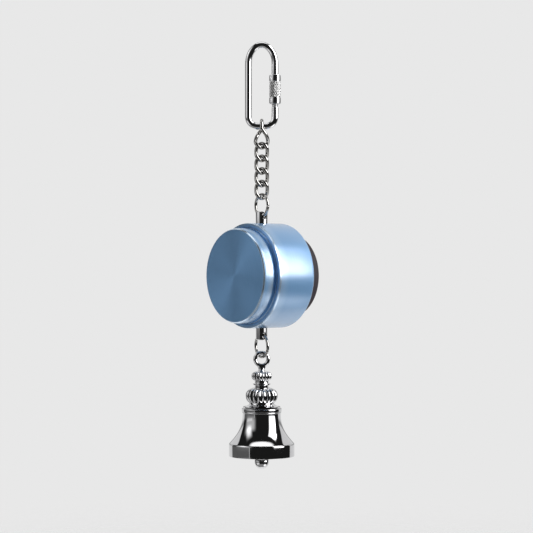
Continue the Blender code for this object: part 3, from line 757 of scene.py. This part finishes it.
WASHER_RADIUS = 0.0044
WASHER_HOLE = 0.0022
WASHER_SEGMENTS = 96
SADDLE_PLAY = 0.0002
SADDLE_REACH = 0.007
NUT_ACROSS_FLATS = 0.0070
NUT_CORNER_CUT = 0.00035
NUT_OVERRUN = 0.0001
NUT_SEGMENTS = 96
TAP_PLAY = 0.0001
TAP_OVERRUN = 0.001
TAP_SEGMENTS = 48


def zinc_plate(name, bright, dim):
    """Zinc plate: a soft grey metal with a faint crystalline mottle and fine tool lines."""
    metal, tree, shader = blank(name)
    shader.inputs["Metallic"].default_value = 1
    place = put(tree, "ShaderNodeTexCoord", {}).outputs["Object"]
    squeezed = put(tree, "ShaderNodeMapping", {"Vector": place, "Scale": (1, 1, 9)}).outputs[0]
    mottle = put(tree, "ShaderNodeTexVoronoi", {"Vector": place, "Scale": 1100}).outputs[0]
    lines = noise(tree, 700, 4, {"Vector": squeezed})
    mixed = reckon(tree, "ADD", mottle, lines)
    tree.links.new(shade_between(tree, mixed, 0.4, 1, dim, bright), shader.inputs["Base Color"])
    tree.links.new(rescale(tree, lines, 0.3, 0.7, 0.24, 0.40), shader.inputs["Roughness"])
    emboss(tree, shader, lines, 0.10, 0.00003)
    return metal


zinc = zinc_plate("zinc_plate", (0.60, 0.60, 0.58), (0.44, 0.44, 0.42))
for name, up, tip in POSTS:
    upright = Vector((0, 0, up))
    level = drum_centre.z * up
    washer_bottom = span(f"{name}_post_washer", upright)[0] - level
    washer_outline = soften([
        (WASHER_HOLE, DRUM_BORE, 0),
        (WASHER_RADIUS, DRUM_BORE, 0),
        (WASHER_RADIUS, washer_bottom, SOFT_EDGE),
        (WASHER_HOLE, washer_bottom, SOFT_EDGE),
    ])
    washer = spin_outline(f"{name}_saddle_washer", washer_outline, WASHER_SEGMENTS)
    stand(washer, drum_centre, tip)
    saddle_radius = DRUM_BORE - SADDLE_PLAY
    saddle_wall = [(saddle_radius, SADDLE_REACH), (saddle_radius, -SADDLE_REACH)]
    saddle = spin_outline("saddle", [(0, SADDLE_REACH), *saddle_wall, (0, -SADDLE_REACH)], DRUM_SEGMENTS)
    stand(saddle, drum_centre, drum_tilt)
    carve(washer, "INTERSECT", saddle)
    fit(washer, f"{name}_post_washer", "drum", zinc)

    nut_bottom, nut_top = [end - level for end in span(f"{name}_post_nut", upright)]
    bpy.ops.mesh.primitive_cylinder_add(
        vertices=6,
        radius=NUT_ACROSS_FLATS / math.sqrt(3),
        depth=nut_top - nut_bottom,
        location=(0, 0, (nut_top + nut_bottom) / 2),
    )
    nut = bpy.context.object
    nut.name = f"{name}_hex_nut"
    corner = NUT_ACROSS_FLATS / math.sqrt(3) + NUT_OVERRUN
    flat = NUT_ACROSS_FLATS / 2
    crown_outline = [
        (0, nut_top),
        (flat, nut_top),
        (corner, nut_top - NUT_CORNER_CUT),
        (corner, nut_bottom + NUT_CORNER_CUT),
        (flat, nut_bottom),
        (0, nut_bottom),
    ]
    carve(nut, "INTERSECT", spin_outline("nut_crown", crown_outline, NUT_SEGMENTS))
    tap_radius = SHANK_RADIUS + TAP_PLAY
    tap_top = nut_top + TAP_OVERRUN
    tap_bottom = nut_bottom - TAP_OVERRUN
    length = nut_top - nut_bottom + 2 * TAP_OVERRUN
    rows = int(length / SHANK_PITCH * PITCH_ROWS)
    tap = [(tap_radius, tap_top - length * i / rows) for i in range(rows + 1)]
    tool = spin_outline("tap", [(0, tap_top), *tap, (0, tap_bottom)], TAP_SEGMENTS)
    cut_thread(tool, tap_bottom, tap_top, tap_radius, SHANK_PITCH, SHANK_THREAD_DEPTH)
    carve(nut, "DIFFERENCE", tool)
    stand(nut, drum_centre, tip)
    fit(nut, f"{name}_post_nut", "drum", zinc)


# Bell crown: a cast eye on a stack of beads, plated as brightly as the bell below it.
# Both beads are gadrooned, with rounded lobes that meet in sharp grooves, and a thin collar parts them.

EYE_OPENING = 0.00436
EYE_WIRE = 0.00207
STEM_LENGTH = 0.0018
STEM_NECK = 0.0016
STEM_NECK_HEIGHT = 0.0006
STEM_FILLET = (0.0003, 0.0002)
STEM_FOOT = 0.0026
STEM_STEPS = 12
WEB_TOP = -0.0026
WEB_WIDTH = 0.0030
SMALL_BEAD = 0.0051
SMALL_BEAD_HEIGHT = 0.0046
THROAT = 0.0035
THROAT_LENGTH = 0.0013
COLLAR = 0.0044
COLLAR_HEIGHT = 0.0010
COLLAR_SLOPE = 0.0002
COLLAR_ROUND = 0.00012
BIG_BEAD = 0.0080
BIG_BEAD_HEIGHT = 0.0074
BEAD_STEPS = 14
FOOT_NECK = 0.0061
FOOT = 0.0093
FOOT_HEIGHT = 0.0025
FOOT_RIM = 0.0005
FOOT_STEPS = 12
CROWN_BORE = 0.0023
CROWN_BORE_DEPTH = 0.0060
LOBES = 18
LOBE_SEGMENTS = 16
LOBE_SWELL = 0.6
LOBE_ROUND = 0.9
SMALL_LOBE_DEPTH = 0.0007
BIG_LOBE_DEPTH = 0.0011


def bead(top, height, above, below, widest):
    """The outline of a bead that swells between two throats."""
    middle = top - height / 2
    upper = sweep((0, 0), 1, 90, 0, BEAD_STEPS)
    lower = sweep((0, 0), 1, 0, -90, BEAD_STEPS)
    outline = [(above + (widest - above) * x, middle + height / 2 * z) for x, z in upper]
    return outline + [(below + (widest - below) * x, middle + height / 2 * z) for x, z in lower[1:]]


def gadroon(piece, top, height, inner, depth):
    """Cuts grooves down a bead, so that it is left as a ring of rounded lobes."""
    for vertex in piece.data.vertices:
        x, y, z = vertex.co
        reach = math.hypot(x, y)
        if top - height < z < top and reach > inner:
            swell = math.sin(math.pi * (top - z) / height) ** LOBE_SWELL
            lobe = abs(math.cos(LOBES / 2 * math.atan2(y, x)))
            factor = 1 - depth * swell * (1 - lobe ** LOBE_ROUND) / reach
            vertex.co = (x * factor, y * factor, z)


low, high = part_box("bell_crown")
eye_height = high.z - EYE_WIRE - EYE_OPENING / 2
stem_top = -EYE_OPENING / 2 - EYE_WIRE
small_top = stem_top - STEM_LENGTH
neck_height = small_top + STEM_NECK_HEIGHT
throat_top = small_top - SMALL_BEAD_HEIGHT
collar_top = throat_top - THROAT_LENGTH
big_top = collar_top - COLLAR_HEIGHT - THROAT_LENGTH
foot_top = big_top - BIG_BEAD_HEIGHT
crown_bottom = foot_top - FOOT_HEIGHT
stem_curve = []
for i in range(STEM_STEPS + 1):
    share = i / STEM_STEPS
    radius = STEM_NECK + (WEB_WIDTH - STEM_NECK) * (1 - share) ** 2
    stem_curve.append((radius, WEB_TOP + (neck_height - WEB_TOP) * share))
collar_outline = soften(
    [
        (THROAT, throat_top, 0),
        (THROAT, collar_top, ROUND_EDGE),
        (COLLAR, collar_top - COLLAR_SLOPE, COLLAR_ROUND),
        (COLLAR, collar_top - COLLAR_HEIGHT + COLLAR_SLOPE, COLLAR_ROUND),
        (THROAT, collar_top - COLLAR_HEIGHT, ROUND_EDGE),
        (THROAT, big_top, 0),
    ],
    closed=False,
)
foot_curve = [
    (FOOT - (FOOT - FOOT_NECK) * math.cos(turn), foot_top - (FOOT_HEIGHT - FOOT_RIM) * math.sin(turn))
    for turn in [math.radians(90 * i / FOOT_STEPS) for i in range(1, FOOT_STEPS + 1)]
]
crown_outline = [
    (0, WEB_TOP),
    *stem_curve,
    (STEM_NECK + STEM_FILLET[0], small_top + STEM_FILLET[1]),
    *bead(small_top, SMALL_BEAD_HEIGHT, STEM_FOOT, THROAT, SMALL_BEAD),
    *collar_outline[1:-1],
    *bead(big_top, BIG_BEAD_HEIGHT, THROAT, FOOT_NECK, BIG_BEAD),
    *foot_curve,
    (FOOT, crown_bottom),
    (CROWN_BORE, crown_bottom),
    (CROWN_BORE, crown_bottom + CROWN_BORE_DEPTH),
    (0, crown_bottom + CROWN_BORE_DEPTH),
]
crown = spin_outline("beaded_crown", crown_outline, LOBES * LOBE_SEGMENTS)
gadroon(crown, small_top, SMALL_BEAD_HEIGHT, STEM_FOOT, SMALL_LOBE_DEPTH)
gadroon(crown, big_top, BIG_BEAD_HEIGHT, THROAT, BIG_LOBE_DEPTH)
for vertex in crown.data.vertices:
    share = (vertex.co.z - neck_height) / (WEB_TOP - neck_height)
    if share > 0:
        vertex.co.y *= 1 + (EYE_WIRE / 2 / WEB_WIDTH - 1) * min(1, share)
bpy.ops.mesh.primitive_torus_add(
    major_radius=(EYE_OPENING + EYE_WIRE) / 2,
    minor_radius=EYE_WIRE / 2,
    major_segments=96,
    minor_segments=32,
    rotation=(math.pi / 2, 0, 0),
)
carve(crown, "UNION", bpy.context.object)
stand(crown, (0, 0, eye_height))
bell_plate = plating("bell_plate", (0.70, 0.70, 0.71), (0.62, 0.62, 0.63), 0.02, 0.07)
fit(crown, "bell_crown", "bell", bell_plate)


# Bell shell: a thin flared casting, polished and plated outside, with a flat top and a deep lip band.
# A raised ring lies under the top's rim, and the inside is left as cast under the same plating.

SHELL_WALL = 0.0018
SHELL_TOP = 0.0100
SHELL_TOP_THICKNESS = 0.0027
SHELL_TOP_EDGE = 0.0017
SHELL_TOP_ROUND = 0.0004
SHELL_WAIST = 0.00955
SHELL_RING = 0.0098
SHELL_RING_ROOT = 0.0002
SHELL_RING_ARC = 80
SHELL_RING_STEPS = 10
SHELL_FLARE_TOP = 0.00245
SHELL_FLARE = 0.0153
FLARE_STEPS = 64
WAIST_PULL = (0, -0.0080)
LIP_PULL = (-0.0033, 0.0037)
LIP = 0.0164
LIP_ROUND = 0.0005
LIP_EDGE = 0.00015
CEILING_ROUND = 0.0005
CEILING_ROOM = 0.0006
SHELL_SEGMENTS = 224
CAST_DEPTH = 0.001
FACES_DOWN = -0.9


def flare(first, first_pull, last, last_pull, steps):
    """A curve that leaves one point and reaches another, pulled by a handle at each."""
    knots = [Vector(first), Vector(first) + Vector(first_pull)]
    knots += [Vector(last) + Vector(last_pull), Vector(last)]
    points = []
    for i in range(steps + 1):
        t = i / steps
        shares = ((1 - t) ** 3, 3 * t * (1 - t) ** 2, 3 * t * t * (1 - t), t ** 3)
        points.append(sum((knot * share for knot, share in zip(knots, shares)), Vector((0, 0))))
    return points


low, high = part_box("bell_shell")
shell_top = high.z - eye_height
lip_bottom = low.z - eye_height
ceiling = shell_top - SHELL_TOP_THICKNESS
flare_top = shell_top - SHELL_FLARE_TOP
lip_top = flare_top - SHELL_FLARE
outside = flare((SHELL_WAIST, flare_top), WAIST_PULL, (LIP, lip_top), LIP_PULL, FLARE_STEPS)
inside = []
for i, point in enumerate(outside):
    run = (outside[min(i + 1, FLARE_STEPS)] - outside[max(i - 1, 0)]).normalized()
    inner = (point.x + run.y * SHELL_WALL, point.y - run.x * SHELL_WALL)
    if inner[1] < ceiling - CEILING_ROOM:
        inside.append((*inner, 0))
ring_root = SHELL_WAIST - SHELL_RING_ROOT
ring_middle = (shell_top - SHELL_TOP_EDGE + flare_top) / 2
ring_half = (SHELL_FLARE_TOP - SHELL_TOP_EDGE) / 2
shell_ring = [
    (ring_root + (SHELL_RING - ring_root) * x, ring_middle + ring_half * z, 0)
    for x, z in sweep((0, 0), 1, SHELL_RING_ARC, -SHELL_RING_ARC, SHELL_RING_STEPS)
]
shell_outline = soften([
    (CROWN_BORE, shell_top, 0),
    (SHELL_TOP, shell_top, SHELL_TOP_ROUND),
    (SHELL_TOP, shell_top - SHELL_TOP_EDGE, ROUND_EDGE),
    *shell_ring,
    *[(point.x, point.y, 0) for point in outside[:-1]],
    (LIP, lip_top, LIP_ROUND),
    (LIP, lip_bottom, LIP_EDGE),
    (LIP - SHELL_WALL, lip_bottom, ROUND_EDGE),
    *reversed(inside),
    (SHELL_WAIST - SHELL_WALL, ceiling, CEILING_ROUND),
    (CROWN_BORE, ceiling, 0),
])
shell = spin_outline("flared_shell", shell_outline, SHELL_SEGMENTS)
stand(shell, (0, 0, eye_height))
fit(shell, "bell_shell", "bell", bell_plate)
shell.data.materials.append(plating("cast_plate", (0.55, 0.55, 0.55), (0.40, 0.40, 0.40), 0.18, 0.42))
for face in shell.data.polygons:
    middle = face.center
    towards_axis = face.normal.x * middle.x + face.normal.y * middle.y < 0
    under_ceiling = face.normal.z < FACES_DOWN and middle.z > eye_height + ceiling - CAST_DEPTH
    if under_ceiling or (towards_axis and middle.z < eye_height + shell_top - CAST_DEPTH):
        face.material_index = 1


# Clapper's eye bolt: a zinc-plated bolt with a round collar, screwed up through the bell into its crown.
# It clamps the two together, and the clapper hangs on the loop under its collar.

BOLT_SHANK = 0.0020
BOLT_PLAIN = 0.0005
BOLT_COLLAR = 0.0035
BOLT_COLLAR_HEIGHT = 0.0015
BOLT_CENTRE = 0.0008
BOLT_SEGMENTS = 64
LOOP_WIRE = 0.0014
LOOP_OPENING = 0.0024

low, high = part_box("clapper_eye_bolt")
loop_radius = (LOOP_OPENING + LOOP_WIRE) / 2
bolt_loop = low.z + LOOP_WIRE / 2 + loop_radius
bolt_tip = high.z - SHANK_TIP
collar_end = bolt_loop + loop_radius
collar_seat = collar_end + BOLT_COLLAR_HEIGHT
rows = int((high.z - collar_seat) / SHANK_PITCH * PITCH_ROWS)
bolt_outline = soften(
    [
        (0, high.z, 0),
        (BOLT_SHANK - SHANK_TIP, high.z, 0),
        *[(BOLT_SHANK, bolt_tip - (bolt_tip - collar_seat) * i / rows, 0) for i in range(rows)],
        (BOLT_SHANK, collar_seat, 0),
        (BOLT_COLLAR, collar_seat, SOFT_EDGE),
        (BOLT_COLLAR, collar_end, ROUND_EDGE),
        (BOLT_CENTRE, collar_end, 0),
        (0, collar_end, 0),
    ],
    closed=False,
)
bolt = spin_outline("clapper_bolt", bolt_outline, BOLT_SEGMENTS)
cut_thread(bolt, collar_seat + BOLT_PLAIN, bolt_tip, BOLT_SHANK, SHANK_PITCH, SHANK_THREAD_DEPTH)
bpy.ops.mesh.primitive_torus_add(
    major_radius=loop_radius,
    minor_radius=LOOP_WIRE / 2,
    major_segments=72,
    minor_segments=24,
    location=(0, 0, bolt_loop),
    rotation=(0, math.pi / 2, 0),
)
carve(bolt, "UNION", bpy.context.object)
fit(bolt, "clapper_eye_bolt", "bell", zinc)


# Clapper rod: a short zinc-plated wire whose upper end is bent round into a loop on the bolt's loop.
# Its straight lower end is fixed in the ball's bore.

ROD_WIRE = 0.0015
ROD_BEND = 0.0009
ROD_LEAN = math.radians(20)
ROD_STEPS = 24
ROD_BEND_STEPS = 12
ROD_TIP = 0.85
CLAPPER_SIDES = 20
LOOP_START = -70
LOOP_SWEEP = 316
LOOP_STEPS = 72

low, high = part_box("clapper_rod")
loop_centre = high.z - LOOP_WIRE / 2 - loop_radius
loop_foot = loop_centre - loop_radius * math.cos(ROD_LEAN)
bend = loop_centre - loop_radius - ROD_BEND
route = [(0, 0, low.z + (bend - low.z) * i / ROD_STEPS) for i in range(ROD_STEPS + 1)]
for i in range(1, ROD_BEND_STEPS + 1):
    share = i / ROD_BEND_STEPS
    route.append((loop_radius * math.sin(ROD_LEAN) * share * share, 0, bend + (loop_foot - bend) * share))
for i in range(1, LOOP_STEPS + 1):
    angle = math.radians(LOOP_START + LOOP_SWEEP * i / LOOP_STEPS)
    route.append((loop_radius * math.cos(angle), 0, loop_centre + loop_radius * math.sin(angle)))
swell = [ROD_TIP] + [1] * (len(route) - 2) + [ROD_TIP]
clapper_rod = bend_wire("eyed_wire", route, ROD_WIRE, CLAPPER_SIDES, swell=swell)
fit(clapper_rod, "clapper_rod", "clapper", zinc)


# Clapper ball: a turned ball, plated as the bell is, with a blind bore that takes the rod.
# Its lower half shows below the bell's lip.

BALL_BORE = 0.0010
BALL_BORE_DEPTH = 0.0040
BALL_BORE_EDGE = 0.0002
BALL_STEPS = 56
BALL_SEGMENTS = 96

low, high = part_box("clapper_ball")
ball_radius = (high.x - low.x) / 2
ball_centre = low.z + ball_radius
bore_angle = math.degrees(math.acos((BALL_BORE + BALL_BORE_EDGE) / ball_radius))
ball_outline = [
    (0, ball_radius - BALL_BORE_DEPTH),
    (BALL_BORE, ball_radius - BALL_BORE_DEPTH),
    (BALL_BORE, ball_radius * math.sin(math.radians(bore_angle)) - BALL_BORE_EDGE),
    *sweep((0, 0), ball_radius, bore_angle, -90, BALL_STEPS)[:-1],
    (0, -ball_radius),
]
ball = spin_outline("clapper_bob", ball_outline, BALL_SEGMENTS)
stand(ball, (0, 0, ball_centre))
fit(ball, "clapper_ball", "clapper", bell_plate)


# Floor: a plain pale disc below the toy that keeps its shadow and fades out at its rim.
# It is part of the studio and not of the toy.

FLOOR_DROP = 0.08
FLOOR_RADIUS = 0.50
FLOOR_SOLID = 0.12
FLOOR_END = 0.96

bpy.ops.mesh.primitive_circle_add(
    vertices=96, radius=FLOOR_RADIUS, fill_type="NGON", location=(0, 0, cad_box[0].z - FLOOR_DROP)
)
floor = bpy.context.object
floor.name = "floor"
stand(floor, floor.location)
paper, tree, shader = blank("floor_paper")
shader.inputs["Roughness"].default_value = 0.8
shader.inputs["Base Color"].default_value = (0.80, 0.80, 0.80, 1)
place = put(tree, "ShaderNodeTexCoord", {}).outputs["Object"]
sides = put(tree, "ShaderNodeSeparateXYZ", {"Vector": place})
flat = put(tree, "ShaderNodeCombineXYZ", {"X": sides.outputs["X"], "Y": sides.outputs["Y"]})
reach = put(tree, "ShaderNodeVectorMath", {0: flat.outputs[0]}, operation="LENGTH").outputs["Value"]
ends = {"Value": reach, "From Min": FLOOR_SOLID, "From Max": FLOOR_RADIUS * FLOOR_END}
fade = put(tree, "ShaderNodeMapRange", ends, interpolation_type="SMOOTHSTEP").outputs[0]
behind = put(tree, "ShaderNodeNewGeometry", {}).outputs["Backfacing"]
clear = reckon(tree, "MAXIMUM", fade, behind)
nothing = put(tree, "ShaderNodeBsdfTransparent", {}).outputs[0]
mix = put(tree, "ShaderNodeMixShader", {0: clear, 1: shader.outputs[0], 2: nothing})
tree.links.new(mix.outputs[0], tree.nodes["Material Output"].inputs["Surface"])
floor.data.materials.append(paper)
floor.visible_glossy = False


# Studio light: a room that is pale behind and below and dark in front, with a bright tall soft box
# at the right and a low one under it, dimmer ones at the left, an oval lamp overhead and a dark strip
# behind the chain. The camera sees the plain pale room everywhere.

ROOM = 0.807
DARK = 0.014
LAMP_WIDTH = 26
LAMP_DEPTH = 18
LAMP_BACK = 2

world = bpy.data.worlds.new("studio")
bpy.context.scene.world = world
world.use_nodes = True
tree = world.node_tree
ray = put(tree, "ShaderNodeTexCoord", {}).outputs["Generated"]
parts = put(tree, "ShaderNodeSeparateXYZ", {"Vector": ray})
right, back, up = [parts.outputs[axis] for axis in "XYZ"]
front = reckon(tree, "MULTIPLY", back, -1.0)
facing = reckon(tree, "ARCTAN2", right, front)
backing = reckon(tree, "ARCTAN2", right, back)
rising = reckon(tree, "ARCSINE", up)
leaning = reckon(tree, "ARCTAN2", front, up)
sideways = reckon(tree, "ARCTAN2", right, up)
lamp_plan = put(tree, "ShaderNodeCombineXYZ", {"X": sideways, "Y": leaning}).outputs[0]
lamp_size = (180 / math.pi / LAMP_WIDTH, 180 / math.pi / LAMP_DEPTH, 0)
inputs = {0: lamp_plan, 1: lamp_size, 2: (0, LAMP_BACK / LAMP_DEPTH, 0)}
lamp_plan = put(tree, "ShaderNodeVectorMath", inputs, operation="MULTIPLY_ADD").outputs[0]
overhead = put(tree, "ShaderNodeVectorMath", {0: lamp_plan}, operation="LENGTH").outputs["Value"]


def ramp_up(angle, start, end):
    """A share that rises smoothly from 0 to 1 between two angles in degrees."""
    ends = {"Value": angle, "From Min": math.radians(start), "From Max": math.radians(end)}
    return put(tree, "ShaderNodeMapRange", ends, interpolation_type="SMOOTHSTEP").outputs[0]


def soft_box(strength, *limits):
    """Light from a patch of the room, each limit a reading, its two ends and the width of its soft edges."""
    total = strength
    for reading, first, last, edge in limits:
        total = reckon(tree, "MULTIPLY", total, ramp_up(reading, first - edge, first + edge))
        total = reckon(tree, "MULTIPLY", total, ramp_up(reading, last + edge, last - edge))
    return total


light = DARK
for patch in (
    soft_box(0.78, (backing, -54, 62, 2), (rising, -95, 52, 6)),  # pale wall behind
    soft_box(-0.48, (backing, -54, 62, 2), (rising, 1.5, 8.5, 3)),  # dark strip behind the chain
    soft_box(1.6, (facing, 44, 84, 2), (rising, -2.5, 57, 1.5)),  # tall box's frame, at the right
    soft_box(6.5, (facing, 54, 84, 5), (rising, 1, 52, 4)),  # tall box
    soft_box(5.5, (facing, 72, 90, 5), (rising, 40, 54, 5)),  # tall box's upper corner
    soft_box(1.3, (facing, 50, 104, 10), (rising, -62, -34, 6)),  # low box under it
    soft_box(0.60, (facing, -98, -41, 12), (rising, 2, 36, 9)),  # dim box at the left
    soft_box(1.30, (facing, -90, -64, 10), (rising, 22, 50, 9)),  # its brighter upper part
    soft_box(0.38, (facing, -97, -58, 5), (rising, 2, 8, 2)),  # its lower edge
    soft_box(0.80, (facing, -95, -40, 8), (rising, -38, -13, 3)),  # low box at the left
    soft_box(0.11, (facing, -124, -46, 2), (rising, -12, 2, 3)),  # grey band between the two
    soft_box(0.55, (facing, -45, -42.5, 1), (rising, -12, 2, 2)),  # bright line at its end
    soft_box(1.50, (overhead, -60, 57.3, 4)),  # oval lamp overhead
    soft_box(0.30, (rising, -95, -36, 5)),  # pale ground below
):
    light = reckon(tree, "ADD", light, patch)
seen = put(tree, "ShaderNodeLightPath", {}).outputs["Is Camera Ray"]
strength = put(tree, "ShaderNodeMix", {0: seen, 2: light, 3: ROOM}, data_type="FLOAT").outputs[0]
tree.links.new(strength, tree.nodes["Background"].inputs["Strength"])
tree.nodes["Background"].inputs["Color"].default_value = (1, 1, 1, 1)


# Camera: level, a long lens straight in front of the toy's hanging line.
# Its focal length is given in pixels of the square picture.

CAMERA_PLACE = (0.00240, -0.850, -0.109)
SENSOR = 36
FOCAL_PIXELS = 1700
PICTURE_PIXELS = 533

bpy.ops.object.camera_add(location=CAMERA_PLACE, rotation=(math.pi / 2, 0, 0))
camera = bpy.context.object
camera.data.sensor_width = SENSOR
camera.data.lens = SENSOR * FOCAL_PIXELS / PICTURE_PIXELS
camera.data.clip_start = 0.01
bpy.context.scene.camera = camera
bpy.context.scene.view_settings.view_transform = "Standard"
